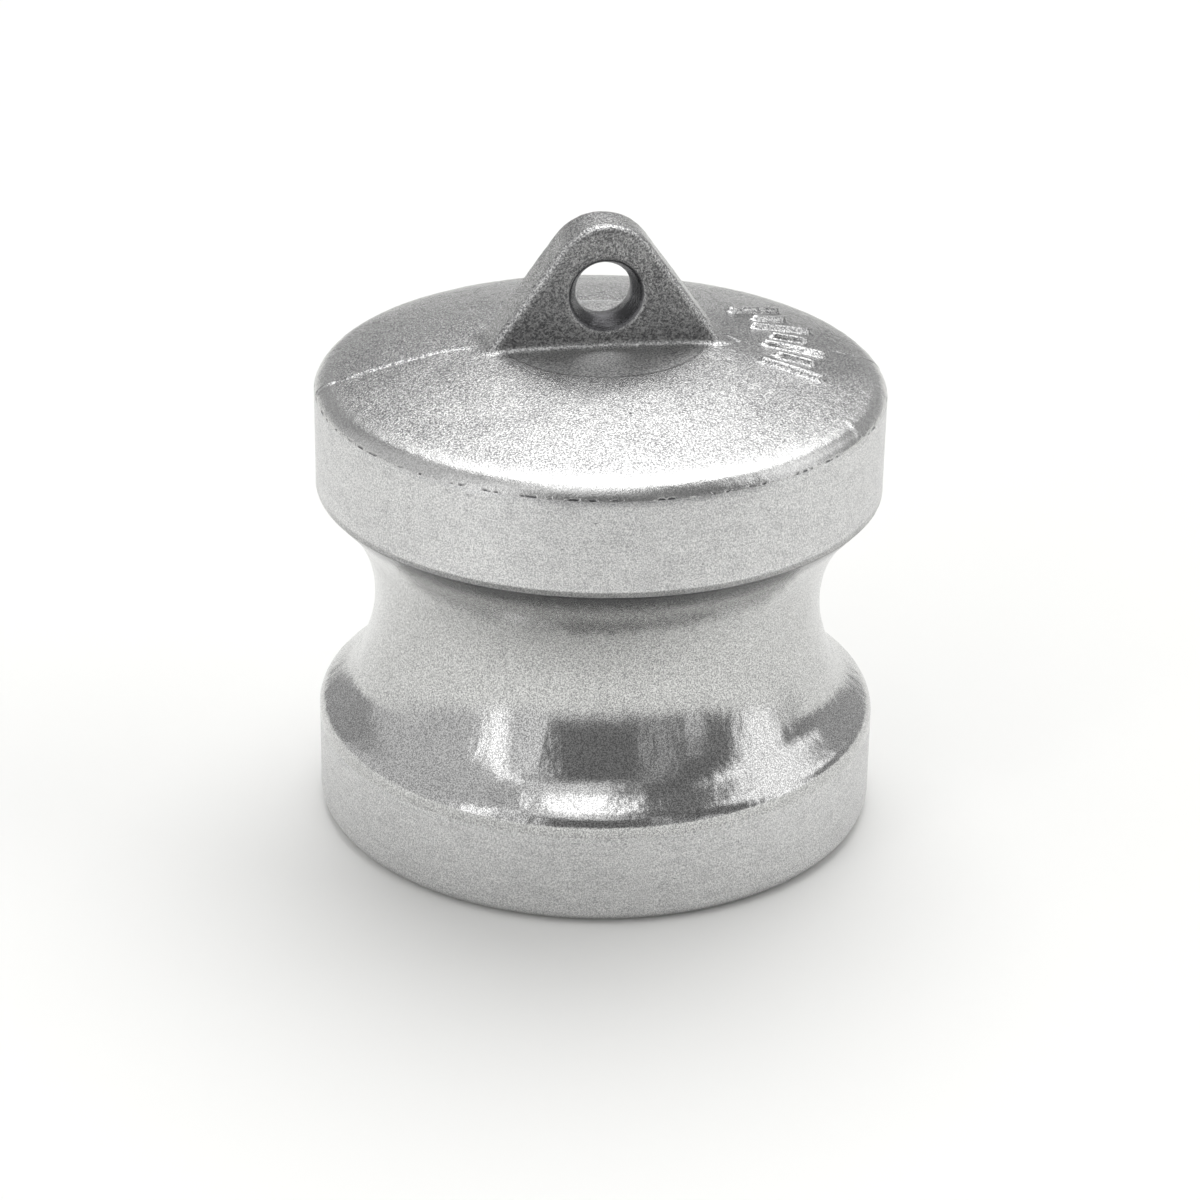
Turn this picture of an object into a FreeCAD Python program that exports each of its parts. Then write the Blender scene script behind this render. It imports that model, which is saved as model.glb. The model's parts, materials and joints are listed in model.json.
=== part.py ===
"""Two-inch dust plug for a cam and groove hose coupling, in millimetres.

The plug is one aluminium casting with nothing fitted to it. It stands on its sealing
face with the lug up: +Z is the plug's own axis, the origin is the centre of the
sealing face, and the lug lies in the XZ plane with its hole along Y.
"""

import FreeCAD
import Part
import math
import os

Vector = FreeCAD.Vector

# The two bands, which a two-inch coupler's bore fits.
BAND_R = 31.5
SEAL_CORNER_R = 2.0  # rounding between the sealing face and the lower band
LOWER_BAND_TOP_Z = 11.6
UPPER_BAND_LOW_Z = 39.4
UNDER_FLANGE_R = 0.5  # rounding between the upper band and the groove

# The cam groove. Its lower flank is the one that the coupler's cams press on.
NECK_R = 25.1
SHOULDER_R = 2.0  # rounding from the lower band into the groove
CAM_FLANK_DEG = 52.0  # flank angles are measured from the axis
CAM_FLANK_FOOT_R = 6.0
LOWER_FLARE_DEG = 21.0
LOWER_FLARE_TOP_Z = 22.2  # where the flare's straight line would meet the neck
LOWER_NECK_ARC_R = 18.0
UPPER_FLANK_DEG = 42.0
UPPER_NECK_ARC_R = 17.0

# The domed end, with a flat spot round the lug's foot.
DOME_SPHERE_R = 95.0
RIM_R = 2.35
FLAT_R = 11.3
FLAT_Z = 56.0

# The cored hollow, open at the sealing face.
HOLLOW_MOUTH_R = 20.5
HOLLOW_DRAFT_DEG = 1.5
HOLLOW_TOP_Z = 50.0
HOLLOW_TOP_CORNER_R = 6.0
MOUTH_CHAMFER = 0.8

# The lug.
LUG_THICKNESS = 5.8
LUG_HALF_WIDTH = 12.9  # at the height of the flat spot
LUG_TOP_ARC_R = 6.1
LUG_TOP_ARC_Z = 63.6
LUG_ROOT_Z = 53.0  # inside the dome's wall
LUG_EDGE_R = 0.9
LUG_FOOT_R = 0.9

# The lug's hole: a short round land at mid-thickness that opens out towards both faces.
HOLE_R = 3.1
HOLE_LAND = 1.4
HOLE_MOUTH_R = 4.0
HOLE_Z = 61.8
HOLE_EDGE_R = 0.5

NODE = "plug_casting"


def on_axis(z):
    """The point of the plug's axis at a height."""
    return Vector(0, 0, z)


def corner_arc(before, corner, after, radius):
    """The start, middle and end of the arc that rounds a corner of an outline."""
    toward_before = (before - corner).normalize()
    toward_after = (after - corner).normalize()
    half_angle = toward_before.getAngle(toward_after) / 2
    reach = radius / math.tan(half_angle)
    bisector = (toward_before + toward_after).normalize()
    middle = corner + bisector * (radius / math.sin(half_angle) - radius)
    return corner + toward_before * reach, middle, corner + toward_after * reach


def rounded_path(corners):
    """Edges through (r, z, rounding radius) corners, where a radius of 0 keeps it sharp."""
    points = [Vector(r, 0, z) for r, z, _ in corners]
    edges = []
    last = points[0]
    for i in range(1, len(corners) - 1):
        radius = corners[i][2]
        if radius:
            start, middle, end = corner_arc(points[i - 1], points[i], points[i + 1], radius)
            edges.append(Part.makeLine(last, start))
            edges.append(Part.Arc(start, middle, end).toShape())
            last = end
        else:
            edges.append(Part.makeLine(last, points[i]))
            last = points[i]
    edges.append(Part.makeLine(last, points[-1]))
    return edges


def revolved(edges):
    """The solid that a closed outline in the XZ plane sweeps round the Z axis."""
    return Part.Face(Part.Wire(edges)).revolve(on_axis(0), on_axis(1), 360)


def groove_corners():
    """The groove's outline between the two bands, from the lower band up."""
    cam_slope = math.tan(math.radians(CAM_FLANK_DEG))
    flare_slope = math.tan(math.radians(LOWER_FLARE_DEG))
    upper_slope = math.tan(math.radians(UPPER_FLANK_DEG))
    shoulder_z = LOWER_BAND_TOP_Z + SHOULDER_R * math.tan(math.radians(CAM_FLANK_DEG) / 2)
    drop = BAND_R - NECK_R
    foot_z = (drop + shoulder_z * cam_slope - LOWER_FLARE_TOP_Z * flare_slope) / (
        cam_slope - flare_slope
    )
    foot_r = NECK_R + (LOWER_FLARE_TOP_Z - foot_z) * flare_slope
    upper_neck_z = UPPER_BAND_LOW_Z - drop / upper_slope
    return [
        (BAND_R, shoulder_z, SHOULDER_R),
        (foot_r, foot_z, CAM_FLANK_FOOT_R),
        (NECK_R, LOWER_FLARE_TOP_Z, LOWER_NECK_ARC_R),
        (NECK_R, upper_neck_z, UPPER_NECK_ARC_R),
        (BAND_R, UPPER_BAND_LOW_Z, UNDER_FLANGE_R),
    ]


def dome_centre_z():
    """The height of the dome sphere's centre, which puts the flat spot's edge at FLAT_Z."""
    return FLAT_Z - math.sqrt(DOME_SPHERE_R**2 - FLAT_R**2)


def dome_point(angle):
    """The point of the dome's outline at an angle above the horizontal."""
    return on_axis(dome_centre_z()) + DOME_SPHERE_R * Vector(math.cos(angle), 0, math.sin(angle))


def outside():
    """The solid plug with no hollow and no lug."""
    rim_inset_r = BAND_R - RIM_R
    rim_above_centre = math.sqrt((DOME_SPHERE_R - RIM_R) ** 2 - rim_inset_r**2)
    rim_z = dome_centre_z() + rim_above_centre
    rim_angle = math.atan2(rim_above_centre, rim_inset_r)
    flat_angle = math.acos(FLAT_R / DOME_SPHERE_R)

    foot = [(0, 0, 0), (BAND_R, 0, SEAL_CORNER_R)]
    edges = rounded_path(foot + groove_corners() + [(BAND_R, rim_z, 0)])
    rim_middle_way = Vector(math.cos(rim_angle / 2), 0, math.sin(rim_angle / 2))
    rim_middle = Vector(rim_inset_r, 0, rim_z) + rim_middle_way * RIM_R
    rim_top = dome_point(rim_angle)
    edges.append(Part.Arc(Vector(BAND_R, 0, rim_z), rim_middle, rim_top).toShape())
    dome_middle = dome_point((rim_angle + flat_angle) / 2)
    flat_edge = dome_point(flat_angle)
    edges.append(Part.Arc(rim_top, dome_middle, flat_edge).toShape())
    edges.append(Part.makeLine(flat_edge, on_axis(FLAT_Z)))
    edges.append(Part.makeLine(on_axis(FLAT_Z), on_axis(0)))
    return revolved(edges)


def hollow():
    """The cored space inside the plug, with its chamfered mouth."""
    top_r = HOLLOW_MOUTH_R - HOLLOW_TOP_Z * math.tan(math.radians(HOLLOW_DRAFT_DEG))
    below_z = -1.0
    edges = rounded_path(
        [
            (0, below_z, 0),
            (HOLLOW_MOUTH_R + MOUTH_CHAMFER - below_z, below_z, 0),
            (HOLLOW_MOUTH_R, MOUTH_CHAMFER, 0),
            (top_r, HOLLOW_TOP_Z, HOLLOW_TOP_CORNER_R),
            (0, HOLLOW_TOP_Z, 0),
            (0, below_z, 0),
        ]
    )
    return revolved(edges)


def lug_outline():
    """The lug's outline in the XZ plane: straight sides that meet a round top."""
    rise = LUG_TOP_ARC_Z - FLAT_Z
    to_centre = math.hypot(LUG_HALF_WIDTH, rise)
    angle = math.acos(LUG_TOP_ARC_R / to_centre) - math.atan2(rise, LUG_HALF_WIDTH)
    tangent = on_axis(LUG_TOP_ARC_Z) + LUG_TOP_ARC_R * Vector(math.cos(angle), 0, math.sin(angle))
    side = (Vector(LUG_HALF_WIDTH, 0, FLAT_Z) - tangent).normalize()
    root = tangent + side * ((LUG_ROOT_Z - tangent.z) / side.z)
    far_tangent = Vector(-tangent.x, 0, tangent.z)
    far_root = Vector(-root.x, 0, root.z)
    top = on_axis(LUG_TOP_ARC_Z + LUG_TOP_ARC_R)
    return Part.Wire(
        [
            Part.makeLine(root, tangent),
            Part.Arc(tangent, top, far_tangent).toShape(),
            Part.makeLine(far_tangent, far_root),
            Part.makeLine(far_root, root),
        ]
    )


def lug_hole():
    """The space of the lug's hole, from face to face."""
    half = LUG_THICKNESS / 2
    outline = [
        Vector(0, -half, 0),
        Vector(HOLE_MOUTH_R, -half, 0),
        Vector(HOLE_R, -HOLE_LAND / 2, 0),
        Vector(HOLE_R, HOLE_LAND / 2, 0),
        Vector(HOLE_MOUTH_R, half, 0),
        Vector(0, half, 0),
        Vector(0, -half, 0),
    ]
    space = Part.Face(Part.makePolygon(outline)).revolve(on_axis(0), Vector(0, 1, 0), 360)
    space.translate(on_axis(HOLE_Z))
    return space


def lug():
    """The upright lug with rounded edges and a round-mouthed hole."""
    plate = Part.Face(lug_outline()).extrude(Vector(0, LUG_THICKNESS, 0))
    plate.translate(Vector(0, -LUG_THICKNESS / 2, 0))
    face_edges = [e for e in plate.Edges if e.BoundBox.YLength < 0.01 and e.BoundBox.ZMax > FLAT_Z]
    plate = plate.makeFillet(LUG_EDGE_R, face_edges)
    plate = plate.cut(lug_hole())
    mouths = [e for e in plate.Edges if e.BoundBox.YLength < 0.01 and is_hole_mouth(e)]
    return plate.makeFillet(HOLE_EDGE_R, mouths)


def is_hole_mouth(edge):
    """Whether an edge is one of the two circles where the hole meets the lug's faces."""
    round_edge = isinstance(edge.Curve, Part.Circle)
    return round_edge and abs(edge.Curve.Radius - HOLE_MOUTH_R) < 0.01


def with_rounded_foot(body):
    """The casting with the corner between the lug and the domed end filled in."""
    reach = LUG_HALF_WIDTH + 3
    foot_edges = []
    for edge in body.Edges:
        box = edge.BoundBox
        across = max(abs(box.YMin), abs(box.YMax)) < LUG_THICKNESS / 2 + 0.01
        along = max(abs(box.XMin), abs(box.XMax)) < reach
        if across and along and FLAT_Z - 2 < box.ZMin and box.ZMax < FLAT_Z + 0.01:
            foot_edges.append(edge)
    return body.makeFillet(LUG_FOOT_R, foot_edges)


def plug_casting():
    """The whole casting."""
    body = with_rounded_foot(outside().fuse(lug()))
    return body.cut(hollow())


os.makedirs("parts", exist_ok=True)
casting = plug_casting()
casting.exportStep("parts/" + NODE + ".step")
print(NODE, "valid", casting.isValid(), "solids", len(casting.Solids), "volume", casting.Volume)
print("box", casting.BoundBox)
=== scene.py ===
"""A two-inch cam and groove dust plug on a white table: one aluminium casting, seen from all sides."""

import json
import logging
import math
from collections.abc import Mapping, Sequence
from dataclasses import dataclass, field
from enum import Enum
from typing import NamedTuple

import bpy
import numpy as np
from mathutils import Matrix, Vector, noise


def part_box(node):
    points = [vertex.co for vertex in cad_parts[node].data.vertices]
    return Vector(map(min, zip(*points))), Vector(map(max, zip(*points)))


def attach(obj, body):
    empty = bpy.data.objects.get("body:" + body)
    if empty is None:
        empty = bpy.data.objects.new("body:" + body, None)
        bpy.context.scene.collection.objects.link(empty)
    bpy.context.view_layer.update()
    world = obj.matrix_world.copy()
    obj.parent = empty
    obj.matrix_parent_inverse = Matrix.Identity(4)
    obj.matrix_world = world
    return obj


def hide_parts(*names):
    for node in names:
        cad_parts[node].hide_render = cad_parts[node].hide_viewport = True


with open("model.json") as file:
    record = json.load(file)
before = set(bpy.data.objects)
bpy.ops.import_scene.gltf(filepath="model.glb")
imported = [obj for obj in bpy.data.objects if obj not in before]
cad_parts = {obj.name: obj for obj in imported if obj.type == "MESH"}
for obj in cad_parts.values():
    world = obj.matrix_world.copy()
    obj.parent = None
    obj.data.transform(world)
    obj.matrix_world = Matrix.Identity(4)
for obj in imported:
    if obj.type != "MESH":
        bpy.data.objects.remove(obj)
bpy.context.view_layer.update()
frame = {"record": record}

NODE = "plug_casting"
BODY = "root"
MM = 0.001

log = logging.getLogger("dust_plug")


class Zone(Enum):
    """The surfaces of the casting that were finished in different ways."""

    CAST_SKIN = 0
    TURNED_BAND = 1
    CAM_GROOVE = 2
    SEALING_FACE = 3
    CORED_HOLLOW = 4


class Corner(NamedTuple):
    """A corner of an outline, with the radius that rounds it."""

    r: float
    z: float
    rounding: float = 0.0


def mount(name: str) -> dict:
    """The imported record's mount of that name."""
    return next(m for m in frame["record"]["mounts"] if m["name"] == name)


def rounded_outline(corners: Sequence[Corner], fineness: float) -> np.ndarray:
    """Follows straight runs and the arcs that round the corners between them.

    Args:
        corners: The outline's corners in order. The first and last have no rounding.
        fineness: The longest distance between two points.

    Returns:
        The points, as rows of (r, z).
    """
    knots = [np.array([c.r, c.z]) for c in corners]
    stops = [knots[0]]
    for before, corner, after, rounding in zip(
        knots, knots[1:], knots[2:], [c.rounding for c in corners[1:-1]]
    ):
        to_before = (before - corner) / np.linalg.norm(before - corner)
        to_after = (after - corner) / np.linalg.norm(after - corner)
        half_angle = math.acos(np.clip(to_before @ to_after, -1, 1)) / 2
        middle = (to_before + to_after) / np.linalg.norm(to_before + to_after)
        reach = rounding / math.tan(half_angle)
        centre = corner + middle * rounding / math.sin(half_angle)
        start = corner + to_before * reach - centre
        end = corner + to_after * reach - centre
        steps = max(2, math.ceil(rounding * (math.pi - 2 * half_angle) / fineness))
        for share in np.linspace(0, 1, steps):
            way = start * (1 - share) + end * share
            length = np.linalg.norm(way)
            stops.append(centre + (way / length * rounding if length > 0 else way))
    stops.append(knots[-1])
    points = [stops[0]]
    for a, b in zip(stops, stops[1:]):
        steps = max(1, math.ceil(np.linalg.norm(b - a) / fineness))
        points += [a + (b - a) * i / steps for i in range(1, steps + 1)]
    return np.array(points)


def spaced_rows(points: np.ndarray, longest: float, shortest: float, turn: float = 0.2) -> np.ndarray:
    """Picks rows along an outline, closer together where it bends.

    Args:
        points: The outline's fine points, as rows of (r, z).
        longest: The distance between rows on a straight run.
        shortest: The least distance between rows in a bend.
        turn: The most that the outline turns between two rows, in radians.

    Returns:
        The rows' points, as rows of (r, z), with the outline's two ends among them.
    """
    steps = np.diff(points, axis=0)
    lengths = np.linalg.norm(steps, axis=1)
    kept = lengths > 1e-9
    steps, lengths = steps[kept], lengths[kept]
    places = np.concatenate([points[:1], points[1:][kept]])
    headings = np.unwrap(np.arctan2(steps[:, 1], steps[:, 0]))
    bends = np.abs(np.gradient(headings)) / lengths
    spacing = np.clip(turn / np.maximum(bends, 1e-6), shortest, longest)
    progress = np.concatenate([[0.0], np.cumsum(lengths / spacing)])
    marks = np.linspace(0, progress[-1], max(2, round(progress[-1]) + 1))
    return np.stack([np.interp(marks, progress, places[:, i]) for i in range(2)], axis=1)


@dataclass(frozen=True)
class PlugProfile:
    """The outline of the plug's outside and of its hollow, in a plane through its axis."""

    band_r: float = mount("seal_end")["dims"]["r_mm"] * MM
    seal_corner_r: float = 2.0 * MM
    lower_band_top_z: float = 11.6 * MM
    upper_band_low_z: float = 39.4 * MM
    under_flange_r: float = 0.5 * MM
    neck_r: float = 25.1 * MM
    shoulder_r: float = 2.0 * MM
    cam_flank: float = math.radians(52.0)
    cam_flank_foot_r: float = 6.0 * MM
    lower_flare: float = math.radians(21.0)
    lower_flare_top_z: float = 22.2 * MM
    lower_neck_arc_r: float = 18.0 * MM
    upper_flank: float = math.radians(42.0)
    upper_neck_arc_r: float = 17.0 * MM
    dome_sphere_r: float = 95.0 * MM
    rim_r: float = 2.5 * MM
    rim_cut: float = math.radians(20.0)  # the rim's slope where the turned band cuts it
    flat_r: float = 11.3 * MM
    flat_z: float = 56.0 * MM
    hollow_mouth_r: float = 20.5 * MM
    hollow_draft: float = math.radians(1.5)
    hollow_top_z: float = 50.0 * MM
    hollow_top_corner_r: float = 6.0 * MM
    mouth_chamfer: float = 0.8 * MM
    fineness: float = 0.03 * MM
    row_step: float = 0.82 * MM
    cast_row_step: float = 0.30 * MM
    hollow_row_step: float = 1.4 * MM
    bend_step: float = 0.12 * MM

    @property
    def dome_centre_z(self) -> float:
        """The height of the dome sphere's centre."""
        return self.flat_z - math.sqrt(self.dome_sphere_r**2 - self.flat_r**2)

    def dome_height(self, r: np.ndarray) -> np.ndarray:
        """The height of the domed end at a distance from the axis."""
        sphere = self.dome_centre_z + np.sqrt(self.dome_sphere_r**2 - r**2)
        return np.minimum(sphere, self.flat_z)

    def rim_centre(self) -> np.ndarray:
        """The centre of the rim's rounding, as (r, z)."""
        r = self.band_r - self.rim_r * math.cos(self.rim_cut)
        rise = math.sqrt((self.dome_sphere_r - self.rim_r) ** 2 - r**2)
        return np.array([r, self.dome_centre_z + rise])

    def cast_rows(self, first_r: float) -> np.ndarray:
        """The as-cast rows, from a circle on the dome out over the rim to the upper band.

        Args:
            first_r: The radius of the first row, on the dome.

        Returns:
            The rows' points, as rows of (r, z).
        """
        centre = self.rim_centre()
        rim_top = math.atan2(centre[1] - self.dome_centre_z, centre[0])
        dome_angles = np.linspace(math.acos(first_r / self.dome_sphere_r), rim_top, 600)
        dome = self.dome_sphere_r * np.stack([np.cos(dome_angles), np.sin(dome_angles)], axis=1)
        dome[:, 1] += self.dome_centre_z
        rim_angles = np.linspace(rim_top, self.rim_cut, 120)
        rim = centre + self.rim_r * np.stack([np.cos(rim_angles), np.sin(rim_angles)], axis=1)
        outline = np.concatenate([dome, rim[1:]])
        return spaced_rows(outline, self.cast_row_step, self.bend_step)

    def upper_band_rows(self) -> np.ndarray:
        """The rows of the upper band, from the rim down to the groove."""
        top = self.rim_centre()[1] + self.rim_r * math.sin(self.rim_cut)
        corners = [Corner(self.band_r, top), Corner(self.band_r, self.upper_band_low_z)]
        return spaced_rows(rounded_outline(corners, self.fineness), self.row_step, self.bend_step)

    def groove_rows(self) -> np.ndarray:
        """The rows of the groove, from the upper band down to the lower band.

        Returns:
            The rows' points, as rows of (r, z).
        """
        cam, flare, upper = (math.tan(a) for a in (self.cam_flank, self.lower_flare, self.upper_flank))
        drop = self.band_r - self.neck_r
        shoulder_z = self.lower_band_top_z + self.shoulder_r * math.tan(self.cam_flank / 2)
        foot_z = (drop + shoulder_z * cam - self.lower_flare_top_z * flare) / (cam - flare)
        foot_r = self.neck_r + (self.lower_flare_top_z - foot_z) * flare
        corners = [
            Corner(self.band_r, self.upper_band_low_z + self.under_flange_r),
            Corner(self.band_r, self.upper_band_low_z, self.under_flange_r),
            Corner(self.neck_r, self.upper_band_low_z - drop / upper, self.upper_neck_arc_r),
            Corner(self.neck_r, self.lower_flare_top_z, self.lower_neck_arc_r),
            Corner(foot_r, foot_z, self.cam_flank_foot_r),
            Corner(self.band_r, shoulder_z, self.shoulder_r),
            Corner(self.band_r, self.lower_band_top_z - self.row_step),
        ]
        return spaced_rows(rounded_outline(corners, self.fineness), self.row_step, self.bend_step)

    def lower_band_rows(self) -> np.ndarray:
        """The rows of the lower band and the rounding below it, down to the sealing face."""
        corners = [
            Corner(self.band_r, self.lower_band_top_z - self.row_step),
            Corner(self.band_r, 0.0, self.seal_corner_r),
            Corner(self.band_r - self.seal_corner_r - self.row_step, 0.0),
        ]
        return spaced_rows(rounded_outline(corners, self.fineness), self.row_step, self.bend_step)

    def sealing_face_rows(self) -> np.ndarray:
        """The rows of the flat ring that the coupler's gasket meets, going inwards."""
        corners = [
            Corner(self.band_r - self.seal_corner_r - self.row_step, 0.0),
            Corner(self.hollow_mouth_r + self.mouth_chamfer, 0.0),
        ]
        return spaced_rows(rounded_outline(corners, self.fineness), self.row_step, self.bend_step)

    def hollow_rows(self) -> np.ndarray:
        """The rows of the chamfered mouth and the hollow, up to near the axis."""
        top_r = self.hollow_mouth_r - self.hollow_top_z * math.tan(self.hollow_draft)
        corners = [
            Corner(self.hollow_mouth_r + self.mouth_chamfer, 0.0),
            Corner(self.hollow_mouth_r, self.mouth_chamfer, self.fineness),
            Corner(top_r, self.hollow_top_z, self.hollow_top_corner_r),
            Corner(self.hollow_row_step, self.hollow_top_z),
        ]
        outline = rounded_outline(corners, self.fineness)
        return spaced_rows(outline, self.hollow_row_step, self.hollow_row_step / 2)


def rounded_both(a: np.ndarray, b: np.ndarray, radius: float) -> np.ndarray:
    """The signed distance to what two solids share, with the edge between them rounded."""
    inside = np.minimum(np.maximum(a, b), -radius)
    return inside + np.hypot(np.maximum(a + radius, 0), np.maximum(b + radius, 0))


def filleted_either(a: np.ndarray, b: np.ndarray, radius: float) -> np.ndarray:
    """The signed distance to two solids together, with the corner between them filled in."""
    outside = np.maximum(np.minimum(a, b), radius)
    return outside - np.hypot(np.maximum(radius - a, 0), np.maximum(radius - b, 0))


def crowded_ends(count: int, crowding: float = 0.75) -> np.ndarray:
    """Shares from 0 to 1 in count steps, closer together near both ends."""
    even = np.linspace(0, 1, count + 1)
    return even - crowding * np.sin(2 * math.pi * even) / (2 * math.pi)


@dataclass(frozen=True)
class EyeLug:
    """The upright lug on the domed end, with the hole that a keeper chain's ring goes through."""

    profile: PlugProfile
    top_z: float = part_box(NODE)[1].z
    thickness: float = 5.8 * MM
    half_width: float = 12.9 * MM
    top_arc_r: float = 6.1 * MM
    edge_r: float = 0.9 * MM
    foot_r: float = 0.9 * MM
    hole_r: float = mount("lug_hole")["dims"]["r_mm"] * MM
    hole_land: float = mount("lug_hole")["dims"]["length_mm"] * MM
    hole_z: float = mount("lug_hole")["pos_m"][2]
    hole_mouth_r: float = 4.0 * MM
    hole_edge_r: float = 0.5 * MM
    flat_edge_r: float = 0.6 * MM
    columns: int = 256  # round the lug's foot
    wall_columns: int = 16  # of them, across the lug's thickness at each end
    free_columns: int = 132  # along the lug's free edge
    face_rings: int = 22
    hole_rings: int = 20
    apron_rings: int = 26
    apron_r: float = 17.5 * MM

    @property
    def top_arc_z(self) -> float:
        """The height of the round top's centre."""
        return self.top_z - self.top_arc_r

    @property
    def side_lean(self) -> float:
        """How far above the horizontal the straight sides face."""
        rise = self.top_arc_z - self.profile.flat_z
        reach = math.hypot(self.half_width, rise)
        return math.acos(self.top_arc_r / reach) - math.atan2(rise, self.half_width)

    @property
    def hole_slope(self) -> float:
        """How fast the hole widens from its land towards a face."""
        return (self.hole_mouth_r - self.hole_r) / (self.thickness - self.hole_land) * 2

    def hole_reach(self, y: np.ndarray) -> np.ndarray:
        """The hole's radius at a distance from the lug's middle, were its land no wider."""
        return self.hole_r + (np.abs(y) - self.hole_land / 2) * self.hole_slope

    def solid(self, points: np.ndarray) -> np.ndarray:
        """The signed distance from points to the domed end and the lug, negative inside.

        Args:
            points: Rows of (x, y, z), in metres.

        Returns:
            One distance for each point.
        """
        x, y, z = np.abs(points[:, 0]), np.abs(points[:, 1]), points[:, 2]
        up = z - self.top_arc_z
        lean = self.side_lean
        beside = x * math.cos(lean) + up * math.sin(lean)
        over = up * math.cos(lean) - x * math.sin(lean) > 0
        outline = np.where(over, np.hypot(x, up), beside) - self.top_arc_r
        lug = rounded_both(outline, y - self.thickness / 2, self.edge_r)
        off_hole = np.hypot(x, z - self.hole_z)
        cone = (self.hole_reach(y) - off_hole) * math.cos(math.atan(self.hole_slope))
        lug = rounded_both(lug, np.maximum(self.hole_r - off_hole, cone), self.hole_edge_r)
        centre_z = self.profile.dome_centre_z
        sphere = np.sqrt(x**2 + y**2 + (z - centre_z) ** 2) - self.profile.dome_sphere_r
        dome = rounded_both(sphere, z - self.profile.flat_z, self.flat_edge_r)
        return filleted_either(dome, lug, self.foot_r)

    def settled(self, points: np.ndarray, rounds: int = 6) -> np.ndarray:
        """Moves points along the distance's slope until they lie on the surface.

        Args:
            points: Rows of (x, y, z) near the surface.
            rounds: How many times they are moved.

        Returns:
            The moved points.
        """
        reach = 0.005 * MM  # how far off the slope is measured
        for _ in range(rounds):
            slopes = [
                (self.solid(points + step) - self.solid(points - step)) / (2 * reach)
                for step in np.eye(3) * reach
            ]
            slope = np.stack(slopes, axis=1)
            steepness = np.maximum((slope**2).sum(axis=1), 0.25)
            points = points - (self.solid(points) / steepness)[:, None] * slope
        return points

    def outline_point(self, share: float) -> tuple[float, float]:
        """A point of the lug's free edge, from the right foot over the top to the left foot.

        Args:
            share: How far along the edge, from 0 to 1.

        Returns:
            The point's x and z.
        """
        lean = self.side_lean
        tangent_x = self.top_arc_r * math.cos(lean)
        tangent_z = self.top_arc_z + self.top_arc_r * math.sin(lean)
        side = math.hypot(self.half_width - tangent_x, tangent_z - self.profile.flat_z)
        arc = (math.pi - 2 * lean) * self.top_arc_r
        along = share * (2 * side + arc)
        if along < side:
            part = along / side
            x = self.half_width + (tangent_x - self.half_width) * part
            return x, self.profile.flat_z + (tangent_z - self.profile.flat_z) * part
        if along > side + arc:
            x, z = self.outline_point(1 - share)
            return -x, z
        angle = lean + (along - side) / self.top_arc_r
        return self.top_arc_r * math.cos(angle), self.top_arc_z + self.top_arc_r * math.sin(angle)

    def face_outline(self) -> np.ndarray:
        """The outline of one face: the foot from left to right, then the free edge.

        Returns:
            The points, as rows of (x, z).
        """
        foot_steps = self.columns // 2 - self.wall_columns
        foot_x = np.linspace(-self.half_width, self.half_width, foot_steps + 1)
        foot_z = self.profile.dome_height(np.hypot(foot_x, self.thickness / 2))
        free = [self.outline_point(i / self.free_columns) for i in range(1, self.free_columns)]
        return np.concatenate([np.stack([foot_x, foot_z], axis=1), np.array(free)])

    def build(self, mesh: "CastingMesh") -> np.ndarray:
        """Adds the lug and the apron of dome round it to the casting.

        Args:
            mesh: The casting that the lug is added to.

        Returns:
            The numbers of the apron's outer ring of points, anticlockwise from above.
        """
        half = self.thickness / 2
        outline = self.face_outline()
        from_hole = outline - np.array([0.0, self.hole_z])
        directions = from_hole / np.linalg.norm(from_hole, axis=1)[:, None]
        centre = np.array([0.0, self.hole_z])
        mouth = directions * self.hole_mouth_r + centre
        foot = self.columns // 2 - self.wall_columns
        free = [*range(foot, len(outline)), 0]

        def at(flat: np.ndarray, y: float) -> np.ndarray:
            """Points of an upright outline at a distance from the lug's middle, settled."""
            return self.settled(np.stack([flat[:, 0], np.full(len(flat), y), flat[:, 1]], axis=1))

        shares = crowded_ends(self.face_rings)
        faces = [
            [mesh.ring(at(mouth + (outline - mouth) * s, y), Zone.CAST_SKIN) for s in shares]
            for y in (-half, half)
        ]
        for inner, outer in zip(faces[0], faces[0][1:]):
            mesh.bridge(inner, outer, Zone.CAST_SKIN)
        for inner, outer in zip(faces[1], faces[1][1:]):
            mesh.bridge(outer, inner, Zone.CAST_SKIN)

        across = crowded_ends(self.hole_rings, 0.3)[1:-1] * self.thickness - half
        reaches = np.maximum(self.hole_r, self.hole_reach(across))
        bore = [
            faces[0][0],
            *(mesh.ring(at(directions * r + centre, y), Zone.CAST_SKIN) for r, y in zip(reaches, across)),
            faces[1][0],
        ]
        for near, far in zip(bore, bore[1:]):
            mesh.bridge(far, near, Zone.CAST_SKIN)

        across = crowded_ends(self.wall_columns)[1:-1] * self.thickness - half
        walls = [mesh.ring(at(outline[free], y), Zone.CAST_SKIN) for y in across]
        edge = [faces[0][-1][free], *walls, faces[1][-1][free]]
        for near, far in zip(edge, edge[1:]):
            mesh.bridge(near, far, Zone.CAST_SKIN, closed=False)

        right = [wall[0] for wall in walls]
        left = [wall[-1] for wall in reversed(walls)]
        footprint = np.array([*faces[0][-1][: foot + 1], *right, *faces[1][-1][foot::-1], *left])
        return self.build_apron(mesh, footprint)

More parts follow.
